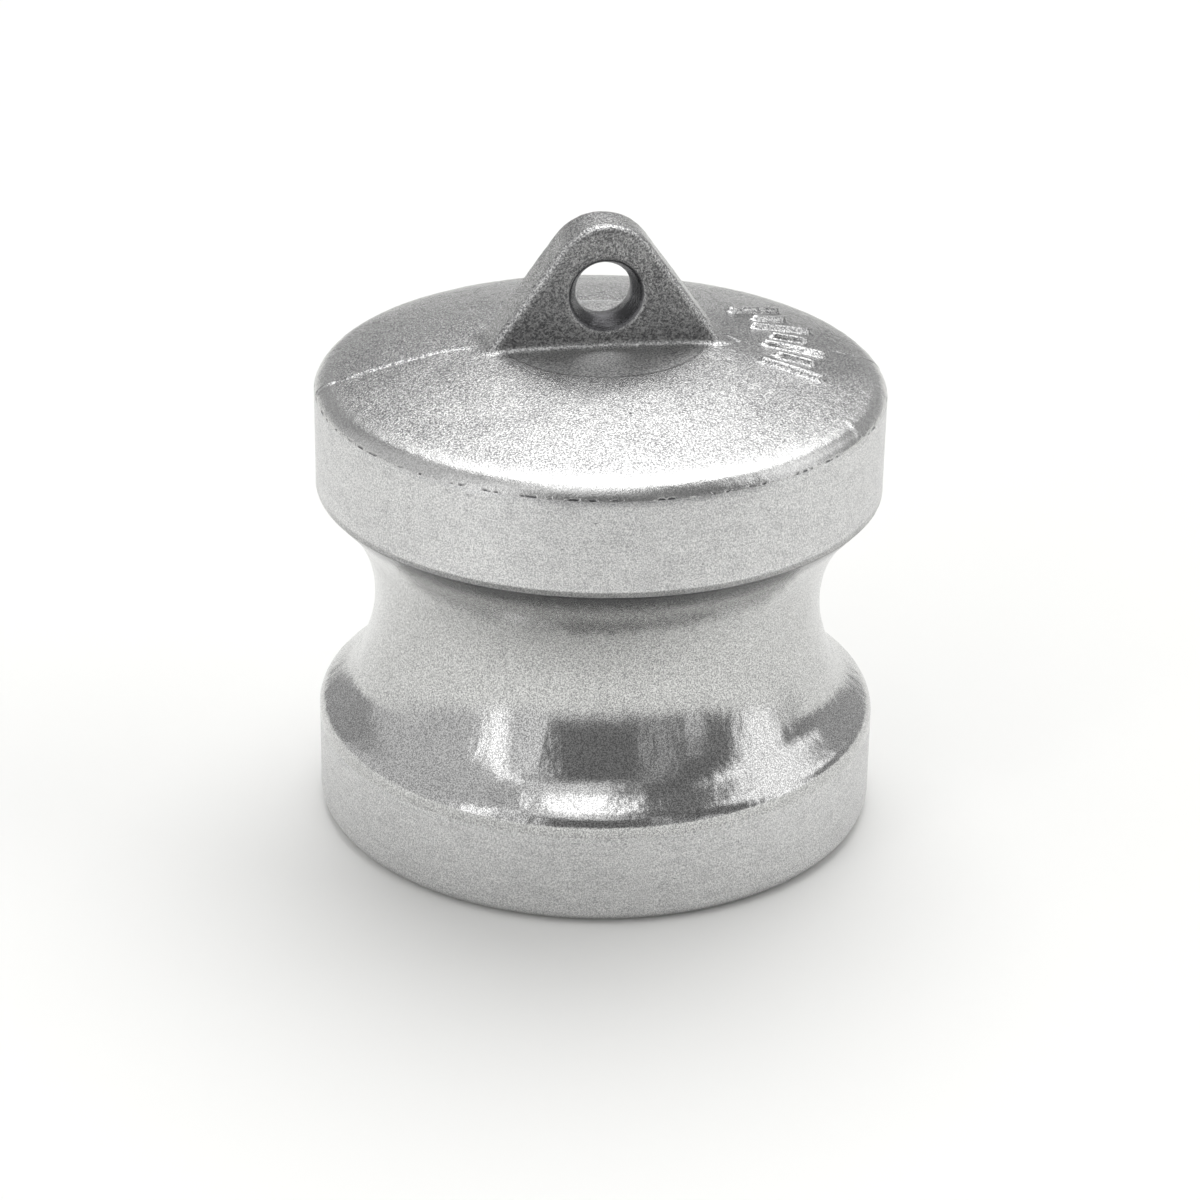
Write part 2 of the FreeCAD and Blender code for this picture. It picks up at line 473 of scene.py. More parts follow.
    def build_apron(self, mesh: "CastingMesh", footprint: np.ndarray) -> np.ndarray:
        """Adds the dome between the lug's footprint and a circle round it.

        Args:
            mesh: The casting that the apron is added to.
            footprint: The numbers of the points round the lug's foot.

        Returns:
            The numbers of the points on the circle.
        """
        corner = np.array(mesh.points)[footprint]
        middle = self.columns // 2 - self.wall_columns // 2
        angles = column_angles(self.columns, middle)
        circle = self.apron_r * np.stack([np.cos(angles), np.sin(angles)], axis=1)
        rings = [footprint]
        for share in np.linspace(0, 1, self.apron_rings + 1)[1:] ** 1.25:
            flat = corner[:, :2] * (1 - share) + circle * share
            height = self.profile.dome_height(np.hypot(flat[:, 0], flat[:, 1]))
            rings.append(mesh.ring(self.settled(np.column_stack([flat, height])), Zone.CAST_SKIN))
        for inner, outer in zip(rings, rings[1:]):
            mesh.bridge(inner, outer, Zone.CAST_SKIN)
        return rings[-1]


def column_angles(count: int, middle: int, crowding: float = 0.6, width: float = 0.09) -> np.ndarray:
    """The angles of a ring's points, closer together at the two ends of the parting line.

    Args:
        count: How many points the ring has.
        middle: The number of the point that lies on +X.
        crowding: How much closer they are there, from 0 to 1.
        width: How far round from the parting line they are closer, in radians.

    Returns:
        One angle for each point, in radians.
    """
    even = 2 * math.pi * (np.arange(count) - middle) / count
    off = (even + math.pi / 2) % math.pi - math.pi / 2
    return even - off * crowding * np.exp(-((off / width) ** 2))


class CastingMesh:
    """The points and faces of the casting, gathered ring by ring."""

    def __init__(self) -> None:
        """Starts an empty mesh."""
        self.points: list[np.ndarray] = []
        self.zones: list[Zone] = []
        self.faces: list[tuple[int, ...]] = []
        self.face_zones: list[Zone] = []

    def ring(self, points: np.ndarray, zone: Zone) -> np.ndarray:
        """Adds a row of points.

        Args:
            points: Rows of (x, y, z), in metres.
            zone: The points' finish.

        Returns:
            The points' numbers.
        """
        first = len(self.points)
        self.points.extend(points)
        self.zones.extend([zone] * len(points))
        return np.arange(first, first + len(points))

    def circle(self, r: float, z: float, angles: np.ndarray, zone: Zone) -> np.ndarray:
        """Adds a level circle of points and returns their numbers."""
        level = np.full(len(angles), z)
        return self.ring(np.stack([r * np.cos(angles), r * np.sin(angles), level], axis=1), zone)

    def face(self, corners: Sequence[int], zone: Zone) -> None:
        """Adds one face."""
        self.faces.append(tuple(int(c) for c in corners))
        self.face_zones.append(zone)

    def bridge(self, inner: np.ndarray, outer: np.ndarray, zone: Zone, closed: bool = True) -> None:
        """Joins two rows of as many points with four-sided faces.

        Args:
            inner: The row on the left of the way that the faces run.
            outer: The other row.
            zone: The finish of the faces.
            closed: Whether the rows' ends meet.
        """
        for i in range(len(inner) if closed else len(inner) - 1):
            j = (i + 1) % len(inner)
            self.face((inner[i], outer[i], outer[j], inner[j]), zone)

    def widen(self, inner: np.ndarray, outer: np.ndarray, zone: Zone) -> None:
        """Joins a closed row to one of twice as many points round it.

        Args:
            inner: The row of fewer points.
            outer: The row of twice as many.
            zone: The finish of the faces.
        """
        for i in range(len(inner)):
            j, middle, end = (i + 1) % len(inner), 2 * i + 1, (2 * i + 2) % len(outer)
            self.face((inner[i], outer[2 * i], outer[middle]), zone)
            self.face((inner[i], outer[middle], inner[j]), zone)
            self.face((inner[j], outer[middle], outer[end]), zone)

    def narrow(self, outer: np.ndarray, inner: np.ndarray, zone: Zone) -> None:
        """Joins a closed row to one of half as many points inside it.

        Args:
            outer: The row of more points.
            inner: The row of half as many.
            zone: The finish of the faces.
        """
        for i in range(len(inner)):
            j, middle, end = (i + 1) % len(inner), 2 * i + 1, (2 * i + 2) % len(outer)
            self.face((outer[2 * i], inner[i], outer[middle]), zone)
            self.face((outer[middle], inner[i], inner[j]), zone)
            self.face((outer[middle], inner[j], outer[end]), zone)


@dataclass(frozen=True)
class RaisedBar:
    """A plain bar that stands proud of the dome, between two points of it."""

    start: tuple[float, float]
    end: tuple[float, float]
    half_width: float
    height: float
    foot_share: float = 1.45  # where the bar's side meets the dome, in half widths
    side_share: float = 0.9  # how wide its sloping side is, in half widths

    def rise(self, x: np.ndarray, y: np.ndarray) -> np.ndarray:
        """How far the bar lifts the surface at points of the plan.

        Args:
            x: The points' x, in metres.
            y: Their y.

        Returns:
            One height for each point.
        """
        run = np.subtract(self.end, self.start)
        along = ((x - self.start[0]) * run[0] + (y - self.start[1]) * run[1]) / (run @ run)
        along = np.clip(along, 0, 1)
        off = np.hypot(x - self.start[0] - along * run[0], y - self.start[1] - along * run[1])
        foot, side = self.half_width * self.foot_share, self.half_width * self.side_share
        return self.height * smooth_step((foot - off) / side)


def smooth_step(share: np.ndarray) -> np.ndarray:
    """Eases from 0 to 1 as share goes from 0 to 1."""
    held = np.clip(share, 0, 1)
    return held * held * (3 - 2 * held)


def from_polar(r: float, angle_deg: float) -> tuple[float, float]:
    """The (x, y) of a point of the plan, from its radius and its angle."""
    return r * math.cos(math.radians(angle_deg)), r * math.sin(math.radians(angle_deg))


@dataclass(frozen=True)
class CastRelief:
    """What the mould and the lathe left on the surface, as a height over the plain shape."""

    mark_count: int = 7
    mark_first_deg: float = -22.0
    mark_pitch_deg: float = 8.2
    mark_middle_r: float = 21.2 * MM
    mark_lengths: tuple[float, float] = (6.2 * MM, 3.4 * MM)
    mark_half_width: float = 0.48 * MM
    mark_height: float = 0.55 * MM
    parting_height: float = 0.20 * MM
    parting_width: float = 0.18 * MM
    parting_gap: tuple[float, float] = (28.3 * MM, 29.3 * MM)
    parting_gap_share: float = 0.15  # of the fin's height that is left in the gap
    faint_share: float = 0.35  # of the fin's height that was left on the lug's right
    faint_start_r: float = 25.0 * MM
    lug_end_r: float = 13.7 * MM
    dome_low_z: float = 49.0 * MM
    flat_z: float = 56.1 * MM
    lump_sizes: Mapping[Zone, tuple[float, ...]] = field(
        default_factory=lambda: {
            Zone.CAST_SKIN: (4.0 * MM, 1.1 * MM, 0.7 * MM),
            Zone.TURNED_BAND: (9.0 * MM,),
            Zone.CAM_GROOVE: (7.0 * MM, 2.4 * MM),
            Zone.SEALING_FACE: (9.0 * MM,),
            Zone.CORED_HOLLOW: (6.0 * MM, 2.8 * MM),
        }
    )
    lump_heights: Mapping[Zone, tuple[float, ...]] = field(
        default_factory=lambda: {
            Zone.CAST_SKIN: (0.035 * MM, 0.02 * MM, 0.03 * MM),
            Zone.TURNED_BAND: (0.02 * MM,),
            Zone.CAM_GROOVE: (0.05 * MM, 0.012 * MM),
            Zone.SEALING_FACE: (0.01 * MM,),
            Zone.CORED_HOLLOW: (0.12 * MM, 0.07 * MM),
        }
    )

    def marks(self) -> list[RaisedBar]:
        """The casting marks: a fan of plain radial bars, long and short by turns.

        Returns:
            The bars, in order round the dome.
        """
        bars = []
        for i in range(self.mark_count):
            reach = self.mark_lengths[i % 2] / 2
            angle = self.mark_first_deg + i * self.mark_pitch_deg
            ends = [from_polar(self.mark_middle_r + way * reach, angle) for way in (-1, 1)]
            bars.append(RaisedBar(*ends, self.mark_half_width, self.mark_height))
        return bars

    def flashes(self) -> list[RaisedBar]:
        """Short fins of flash at the lug's corner and across the rim."""
        lug_corner = (self.lug_end_r, 0.4 * MM)
        corner = RaisedBar(lug_corner, (15.2 * MM, -1.7 * MM), 0.16 * MM, 0.16 * MM)
        rim = RaisedBar(from_polar(29.6 * MM, -36), from_polar(31.2 * MM, -37.5), 0.2 * MM, 0.12 * MM)
        return [corner, rim]

    def parting_line(self, x: np.ndarray, y: np.ndarray) -> np.ndarray:
        """The fin where the mould's halves met: clear on one side of the lug, faint on the other.

        Args:
            x: The points' x, in metres.
            y: Their y.

        Returns:
            The fin's height at each point.
        """
        r = np.abs(x)
        ridge = np.exp(-((y / self.parting_width) ** 2))
        clear = smooth_step((r - self.lug_end_r) / MM) * (x < 0)
        gap = (r > self.parting_gap[0]) & (r < self.parting_gap[1])
        faint = self.faint_share * smooth_step((r - self.faint_start_r) / MM) * (x > 0)
        left = np.where(gap, self.parting_gap_share, 1.0)
        return self.parting_height * ridge * (left * clear + faint)

    def height(self, points: np.ndarray, zones: Sequence[Zone]) -> np.ndarray:
        """The relief at each point of the casting.

        Args:
            points: Rows of (x, y, z), in metres.
            zones: Each point's finish.

        Returns:
            How far to move each point along its normal.
        """
        lumps = [
            sum(
                tall * noise.noise(Vector(point) / wide)
                for wide, tall in zip(self.lump_sizes[zone], self.lump_heights[zone])
            )
            for point, zone in zip(points, zones)
        ]
        x, y, z = points.T
        as_cast = np.array([zone is Zone.CAST_SKIN for zone in zones])
        beside_lug = as_cast & (z > self.dome_low_z) & (z < self.flat_z)
        raised = self.parting_line(x, y)
        for bar in [*self.marks(), *self.flashes()]:
            raised = np.maximum(raised, bar.rise(x, y))
        return np.array(lumps) + np.where(beside_lug, raised, 0.0)


@dataclass
class PlugCasting:
    """The whole plug: one casting with its bands, groove, dome, lug and hollow."""

    profile: PlugProfile = field(default_factory=PlugProfile)
    relief: CastRelief = field(default_factory=CastRelief)
    columns: int = 512
    hollow_columns: int = 128

    def __post_init__(self) -> None:
        """Sizes the lug to the profile."""
        self.lug = EyeLug(self.profile)

    def shape(self) -> CastingMesh:
        """Gathers the casting's points and faces, from the lug down and into the hollow.

        Returns:
            The mesh, before its relief.
        """
        mesh = CastingMesh()
        last = self.lug.build(mesh)
        middle = 2 * (self.lug.columns // 2 - self.lug.wall_columns // 2)
        angles = column_angles(self.columns, middle)
        profile = self.profile
        stretches = [
            (Zone.CAST_SKIN, profile.cast_rows(self.lug.apron_r + profile.cast_row_step)),
            (Zone.TURNED_BAND, profile.upper_band_rows()),
            (Zone.CAM_GROOVE, profile.groove_rows()),
            (Zone.TURNED_BAND, profile.lower_band_rows()),
        ]
        for zone, rows in stretches:
            for r, z in rows if zone is Zone.CAST_SKIN else rows[1:]:
                circle = mesh.circle(r, z, angles, zone)
                if len(last) < len(circle):
                    mesh.widen(last, circle, zone)
                else:
                    mesh.bridge(last, circle, zone)
                last = circle
        for zone, rows in (
            (Zone.SEALING_FACE, profile.sealing_face_rows()),
            (Zone.CORED_HOLLOW, profile.hollow_rows()),
        ):
            for r, z in rows[1:]:
                if len(last) > self.hollow_columns:
                    middle //= 2
                    circle = mesh.circle(r, z, column_angles(len(last) // 2, middle), zone)
                    mesh.narrow(last, circle, zone)
                else:
                    circle = mesh.circle(r, z, column_angles(len(last), middle), zone)
                    mesh.bridge(last, circle, zone)
                last = circle
        mesh.face(last, Zone.CORED_HOLLOW)
        return mesh

    def piece(self) -> bpy.types.Object:
        """Makes the casting's object, with the relief worked into its surface.

        Returns:
            The object, with no materials yet.
        """
        shape = self.shape()
        data = bpy.data.meshes.new(NODE + "_skin")
        data.from_pydata(shape.points, [], shape.faces)
        data.polygons.foreach_set("material_index", [zone.value for zone in shape.face_zones])
        normals = np.zeros(len(shape.points) * 3, np.float32)
        data.vertices.foreach_get("normal", normals)
        points = np.array(shape.points)
        lift = self.relief.height(points, shape.zones)
        points += normals.reshape(-1, 3) * lift[:, None]
        data.vertices.foreach_set("co", self.kept_in_box(points).ravel())
        data.shade_smooth()
        data.update()
        casting = bpy.data.objects.new(NODE + "_skin", data)
        bpy.context.scene.collection.objects.link(casting)
        return casting

    def kept_in_box(self, points: np.ndarray) -> np.ndarray:
        """Presses points back inside the band's radius and between the face and the lug's top.

        Args:
            points: Rows of (x, y, z), in metres.

        Returns:
            The pressed points.
        """
        across = np.hypot(points[:, 0], points[:, 1])
        shrink = np.minimum(1, self.profile.band_r / np.maximum(across, MM))
        level = np.clip(points[:, 2], 0, self.lug.top_z)
        return np.column_stack([points[:, :2] * shrink[:, None], level])


def linear(hex_colour: str) -> tuple[float, float, float, float]:
    """Turns an sRGB hex colour such as "#C8CBCB" into the linear colour that a shader takes."""
    shares = [int(hex_colour[i : i + 2], 16) / 255 for i in (1, 3, 5)]
    red, green, blue = (s / 12.92 if s <= 0.04045 else ((s + 0.055) / 1.055) ** 2.4 for s in shares)
    return red, green, blue, 1.0


def add_node(
    tree: bpy.types.NodeTree,
    kind: str,
    settings: Mapping[str, object] | None = None,
    inputs: Mapping[str | int, object] | None = None,
) -> bpy.types.Node:
    """Adds a node with its settings, values and links.

    Args:
        tree: The node tree that it goes in.
        kind: The node's type, without its "ShaderNode" start.
        settings: Values for the node's own properties.
        inputs: For each input, by name or number, a value or the output that feeds it.

    Returns:
        The new node.
    """
    node = tree.nodes.new("ShaderNode" + kind)
    for name, value in (settings or {}).items():
        setattr(node, name, value)
    for name, value in (inputs or {}).items():
        if isinstance(value, bpy.types.NodeSocket):
            tree.links.new(value, node.inputs[name])
        else:
            node.inputs[name].default_value = value
    return node


class Finish:
    """A way that a surface of the casting was finished, as a procedural metal."""

    name: str
    pale: str
    dark: str
    roughness: tuple[float, float]

    def surface(self, tree: bpy.types.NodeTree, place: bpy.types.NodeSocket) -> tuple:
        """Adds the finish's pattern nodes.

        Args:
            tree: The material's node tree.
            place: The output that gives a point's place, in metres.

        Returns:
            The outputs of the height in metres, of the stain and of the sheen, both 0 to 1.
        """
        raise NotImplementedError

    def material(self) -> bpy.types.Material:
        """Makes the finish's material.

        Returns:
            The material.
        """
        made = bpy.data.materials.new(self.name)
        made.use_nodes = True
        tree = made.node_tree
        tree.nodes.clear()
        place = add_node(tree, "TexCoord").outputs["Object"]
        height, stain, sheen = self.surface(tree, place)
        colour = add_node(
            tree, "Mix", {"data_type": "RGBA"}, {0: stain, 6: linear(self.pale), 7: linear(self.dark)}
        )
        rough = add_node(
            tree, "MapRange", {}, {"Value": sheen, "To Min": self.roughness[0], "To Max": self.roughness[1]}
        )
        bump = add_node(tree, "Bump", {}, {"Height": height, "Distance": 1.0, "Strength": 1.0})
        shader = add_node(
            tree,
            "BsdfPrincipled",
            {},
            {
                "Base Color": colour.outputs[2],
                "Roughness": rough.outputs["Result"],
                "Normal": bump.outputs["Normal"],
                "Metallic": 1.0,
            },
        )
        add_node(tree, "OutputMaterial", {}, {"Surface": shader.outputs["BSDF"]})
        return made


def patches(
    tree: bpy.types.NodeTree, place: bpy.types.NodeSocket, size: float, **more: float
) -> bpy.types.NodeSocket:
    """Adds soft noise whose lumps are about size metres across, and returns its output."""
    inputs = {"Vector": place, "Scale": 1 / size, "Detail": 2.0, **more}
    return add_node(tree, "TexNoise", {}, inputs).outputs["Fac"]


def eased(
    tree: bpy.types.NodeTree, value: bpy.types.NodeSocket, low: float, high: float, top: float = 1.0
) -> bpy.types.NodeSocket:
    """Adds a smooth step from 0 at low to top at high, and returns its output."""
    inputs = {"Value": value, "From Min": low, "From Max": high, "To Min": 0.0, "To Max": top}
    return add_node(tree, "MapRange", {"interpolation_type": "SMOOTHSTEP"}, inputs).outputs["Result"]


def worked(tree: bpy.types.NodeTree, operation: str, *values: object) -> bpy.types.NodeSocket:
    """Adds a sum or other operation on two or three values, and returns its output."""
    return add_node(tree, "Math", {"operation": operation}, dict(enumerate(values))).outputs[0]


def away_from_axis(tree: bpy.types.NodeTree, place: bpy.types.NodeSocket) -> bpy.types.NodeSocket:
    """Adds a place's distance from the plug's axis, and returns its output."""
    level = add_node(tree, "VectorMath", {"operation": "MULTIPLY"}, {0: place, 1: (1.0, 1.0, 0.0)})
    length = add_node(tree, "VectorMath", {"operation": "LENGTH"}, {0: level.outputs["Vector"]})
    return length.outputs["Value"]


def sparse_pits(
    tree: bpy.types.NodeTree, place: bpy.types.NodeSocket, spacing: float, size: float, share: float
) -> bpy.types.NodeSocket:
    """Adds small pits scattered at random, and returns an output that is 1 in a pit.

    Args:
        tree: The material's node tree.
        place: The output that gives a point's place, in metres.
        spacing: The distance between places where a pit may be, in metres.
        size: A pit's radius, in metres.
        share: The share of those places that have a pit.

    Returns:
        The mask's output.
    """
    cells = add_node(tree, "TexVoronoi", {}, {"Vector": place, "Scale": 1 / spacing})
    reach = size / spacing
    inside = eased(tree, cells.outputs["Distance"], reach * 1.3, reach * 0.5)
    pick = add_node(tree, "SeparateColor", {}, {"Color": cells.outputs["Color"]}).outputs["Red"]
    return worked(tree, "MULTIPLY", inside, worked(tree, "LESS_THAN", pick, share))


@dataclass(frozen=True)
class AsCastSkin(Finish):
    """Gravity-die-cast aluminium, blasted clean and left: a pebbly grey skin that sparkles.

    The flat under the lug and the skin round the raised bars were dressed smoother, handling
    has worn the rim bright, and the inside of the hole is darkened with painted shade.
    """

    name: str = "cast_aluminium_blasted_skin"
    pale: str = "#DADAD9"
    dark: str = "#656567"
    roughness: tuple[float, float] = (0.42, 0.24)
    grain: float = 0.20 * MM
    grain_depth: float = 0.040 * MM
    grain_stain: tuple[float, float, float] = (0.66, 0.34, 0.9)
    cloud: float = 5 * MM
    cloud_stain: tuple[float, float, float] = (0.45, 0.75, 0.1)
    pit_spacing: float = 1.6 * MM
    pit_r: float = 0.14 * MM
    pit_share: float = 0.08
    pit_depth: float = 0.08 * MM
    chip: float = 1.3 * MM
    chip_edge: tuple[float, float] = (0.45 * MM, 0.1 * MM)
    rim_r: tuple[float, float] = (27.5 * MM, 31.0 * MM)
    rim_wear: float = 0.6
    rim_z: float = 50.3 * MM
    flat_r: float = 11.3 * MM
    flat_edge: float = 0.2 * MM
    flat_top_z: float = 56.2 * MM
    # painted shade inside the lug's hole: its colour is darkened out to hole_rim_r
    hole_z: float = mount("lug_hole")["pos_m"][2]
    hole_rim_r: float = 4.3 * MM
    hole_edge: float = 0.3 * MM
    hole_shade_strength: float = 1.2
    marks_middle: tuple[float, float, float] = (21.2 * MM, 1.0 * MM, 53.8 * MM)
    marks_reach: tuple[float, float] = (12 * MM, 7 * MM)
    marks_dressing: float = 0.65

    def dents(self, tree: bpy.types.NodeTree, place: bpy.types.NodeSocket) -> bpy.types.NodeSocket:
        """Adds pits and the rim's chips.

        Args:
            tree: The material's node tree.
            place: The output that gives a point's place, in metres.

        Returns:
            The mask's output.
        """
        pits = sparse_pits(tree, place, self.pit_spacing, self.pit_r, self.pit_share)
        z = add_node(tree, "SeparateXYZ", {}, {"Vector": place}).outputs["Z"]
        off_edge = worked(tree, "ABSOLUTE", worked(tree, "SUBTRACT", z, self.rim_z))
        near_edge = eased(tree, off_edge, *self.chip_edge)
        broken = eased(tree, patches(tree, place, self.chip), 0.5, 0.62)
        return worked(tree, "MAXIMUM", pits, worked(tree, "MULTIPLY", near_edge, broken))

    def off_flat(self, tree: bpy.types.NodeTree, place: bpy.types.NodeSocket) -> bpy.types.NodeSocket:
        """Adds a mask that is 0 on the flat under the lug.

        Args:
            tree: The material's node tree.
            place: The output that gives a point's place, in metres.

        Returns:
            The mask's output.
        """
        z = add_node(tree, "SeparateXYZ", {}, {"Vector": place}).outputs["Z"]
        r = away_from_axis(tree, place)
        flat = eased(tree, r, self.flat_r + self.flat_edge, self.flat_r - self.flat_edge)
        below = eased(tree, z, self.flat_top_z + 2 * self.flat_edge, self.flat_top_z)
        return worked(tree, "SUBTRACT", 1.0, worked(tree, "MULTIPLY", flat, below))

    def painted_hole_shade(self, tree: bpy.types.NodeTree, place: bpy.types.NodeSocket) -> bpy.types.NodeSocket:
        """Adds painted shade: the colour inside the hole darkened.

        Args:
            tree: The material's node tree.
            place: The output that gives a point's place, in metres.

        Returns:
            The mask's output.
        """
        from_axis = add_node(
            tree,
            "VectorMath",
            {"operation": "MULTIPLY_ADD"},
            {0: place, 1: (1.0, 0.0, 1.0), 2: (0.0, 0.0, -self.hole_z)},
        ).outputs["Vector"]
        off_hole = add_node(tree, "VectorMath", {"operation": "LENGTH"}, {0: from_axis}).outputs["Value"]
        return eased(tree, off_hole, self.hole_rim_r, self.hole_rim_r - self.hole_edge, self.hole_shade_strength)

    def surface(self, tree: bpy.types.NodeTree, place: bpy.types.NodeSocket) -> tuple:
        """Adds blast grain, sooty pits, the chipped edge of the rim and painted shade inside the hole.

        Args:
            tree: The material's node tree.
            place: The output that gives a point's place, in metres.

        Returns:
            The outputs of the height, the stain and the sheen.
        """
        grain = patches(tree, place, self.grain, Roughness=0.7)
        cloud = patches(tree, place, self.cloud)
        dents = self.dents(tree, place)
        rough = self.off_flat(tree, place)
        worn = eased(tree, away_from_axis(tree, place), *self.rim_r, self.rim_wear)
        unworn = worked(tree, "SUBTRACT", 1.0, worn)
        ends = {0: place, 1: self.marks_middle}
        off_marks = add_node(tree, "VectorMath", {"operation": "DISTANCE"}, ends)
        dressed = eased(tree, off_marks.outputs["Value"], *self.marks_reach, self.marks_dressing)
        depth = worked(tree, "MULTIPLY_ADD", rough, self.grain_depth * 1.7, self.grain_depth * 0.3)
        depth = worked(tree, "MULTIPLY", depth, unworn)
        depth = worked(tree, "MULTIPLY", depth, worked(tree, "SUBTRACT", 1.0, dressed))
        height = worked(tree, "MULTIPLY", grain, depth)
        height = worked(tree, "MULTIPLY_ADD", dents, -self.pit_depth, height)
        stain = eased(tree, grain, *self.grain_stain)
        stain = worked(tree, "ADD", stain, eased(tree, cloud, *self.cloud_stain))
        stain = worked(tree, "MULTIPLY", stain, unworn)
        # painted shade: the colour inside the hole is darkened
        stain = worked(tree, "MAXIMUM", stain, self.painted_hole_shade(tree, place))
        return height, worked(tree, "MAXIMUM", stain, dents), rough


@dataclass(frozen=True)
class TurnedBand(Finish):
    """Cast aluminium skimmed on a lathe, then dulled by handling: pale, satin, finely grained."""

    name: str = "cast_aluminium_turned_band"
    pale: str = "#EEEEED"
    dark: str = "#9E9EA0"
    roughness: tuple[float, float] = (0.28, 0.38)
    grain: float = 0.15 * MM
    grain_depth: float = 0.01 * MM
    grain_stain: tuple[float, float, float] = (0.66, 0.34, 0.85)
    feed: float = 0.28 * MM  # the lathe's feed, drawn about twice as coarse as it is so that it shows
    feed_depth: float = 0.006 * MM
    cloud: float = 2.2 * MM
    pit_spacing: float = 1.1 * MM
    pit_r: float = 0.13 * MM
    pit_share: float = 0.22
    pit_depth: float = 0.05 * MM

    def surface(self, tree: bpy.types.NodeTree, place: bpy.types.NodeSocket) -> tuple:
        """Adds feed lines round the band, fine grain and pits where the casting was porous.

        Args:
            tree: The material's node tree.
            place: The output that gives a point's place, in metres.

        Returns:
            The outputs of the height, the stain and the sheen.
        """
        grain = patches(tree, place, self.grain, Roughness=0.7)
        squeezed = add_node(tree, "Mapping", {}, {"Vector": place, "Scale": (0.06, 0.06, 1.0)})
        lines = patches(tree, squeezed.outputs["Vector"], self.feed)
        cloud = patches(tree, place, self.cloud, Detail=3.0)
        dashed = add_node(tree, "Mapping", {}, {"Vector": place, "Scale": (0.6, 0.6, 1.6)})
        pits = sparse_pits(
            tree, dashed.outputs["Vector"], self.pit_spacing, self.pit_r, self.pit_share
        )
        height = worked(tree, "MULTIPLY", grain, self.grain_depth * 2)
        height = worked(tree, "MULTIPLY_ADD", lines, self.feed_depth, height)
        height = worked(tree, "MULTIPLY_ADD", pits, -self.pit_depth, height)
        stain = eased(tree, grain, *self.grain_stain)
        stain = worked(tree, "ADD", stain, eased(tree, cloud, 0.45, 0.75, 0.1))
        stain = worked(tree, "ADD", stain, eased(tree, lines, 0.6, 0.3, 0.1))
        return height, worked(tree, "MAXIMUM", stain, pits), cloud


@dataclass(frozen=True)
class MouldedGroove(Finish):
    """Cast aluminium against a polished steel mould: smooth, with upright flow marks and a dry grain."""

    name: str = "cast_aluminium_moulded_groove"
    pale: str = "#E7E7E6"
    dark: str = "#565658"
    roughness: tuple[float, float] = (0.12, 0.18)
    grain: float = 0.15 * MM
    grain_depth: float = 0.005 * MM
    grain_stain: tuple[float, float, float] = (0.63, 0.37, 0.7)
    cloud: float = 5 * MM
    streak: float = 1.8 * MM
    streak_depth: float = 0.085 * MM
    # painted shade: the colour darkens towards the underside of the upper band, where shade falls
    painted_shade_z: tuple[float, float] = (36.0 * MM, 39.2 * MM)
    painted_shade: float = 0.8

    def surface(self, tree: bpy.types.NodeTree, place: bpy.types.NodeSocket) -> tuple:
        """Adds fine grain, upright streaks where the metal ran, and painted shade under the upper band.

        Args:
            tree: The material's node tree.
            place: The output that gives a point's place, in metres.

        Returns:
            The outputs of the height, the stain and the sheen.
        """
        grain = patches(tree, place, self.grain, Roughness=0.7)
        drawn = add_node(tree, "Mapping", {}, {"Vector": place, "Scale": (1.0, 1.0, 0.16)})
        streaks = patches(tree, drawn.outputs["Vector"], self.streak)
        cloud = patches(tree, place, self.cloud)
        height = worked(tree, "MULTIPLY", grain, self.grain_depth * 2)
        height = worked(tree, "MULTIPLY_ADD", streaks, self.streak_depth, height)
        stain = eased(tree, grain, *self.grain_stain)
        stain = worked(tree, "ADD", stain, eased(tree, cloud, 0.5, 0.8, 0.06))
        z = add_node(tree, "SeparateXYZ", {}, {"Vector": place}).outputs["Z"]
        # painted shade under the upper band, darkening the groove's colour
        painted_shade = eased(tree, z, *self.painted_shade_z, self.painted_shade)
        return height, worked(tree, "ADD", stain, painted_shade), cloud


@dataclass(frozen=True)
class FacedSeal(Finish):
    """Cast aluminium faced on a lathe: fine rings round the axis, bright and even."""

    name: str = "cast_aluminium_faced_seal"
    pale: str = "#DCDCDB"
    dark: str = "#7C7C7D"
    roughness: tuple[float, float] = (0.22, 0.32)
    feed: float = 0.30 * MM  # coarser than the real feed, so that the rings show
    feed_depth: float = 0.004 * MM
    grain: float = 0.4 * MM
    grain_depth: float = 0.006 * MM
    cloud: float = 4 * MM

    def surface(self, tree: bpy.types.NodeTree, place: bpy.types.NodeSocket) -> tuple:
        """Adds the facing tool's rings and a few scuffs.

        Args:
            tree: The material's node tree.
            place: The output that gives a point's place, in metres.

        Returns:
            The outputs of the height, the stain and the sheen.
        """
        turns = worked(tree, "MULTIPLY", away_from_axis(tree, place), 2 * math.pi / self.feed)
        rings = worked(tree, "SINE", turns)
        cloud = patches(tree, place, self.cloud)
        grain = patches(tree, place, self.grain)
        height = worked(tree, "MULTIPLY", rings, self.feed_depth)
        height = worked(tree, "MULTIPLY_ADD", grain, self.grain_depth * 2, height)
        return height, eased(tree, cloud, 0.5, 0.8, 0.25), cloud


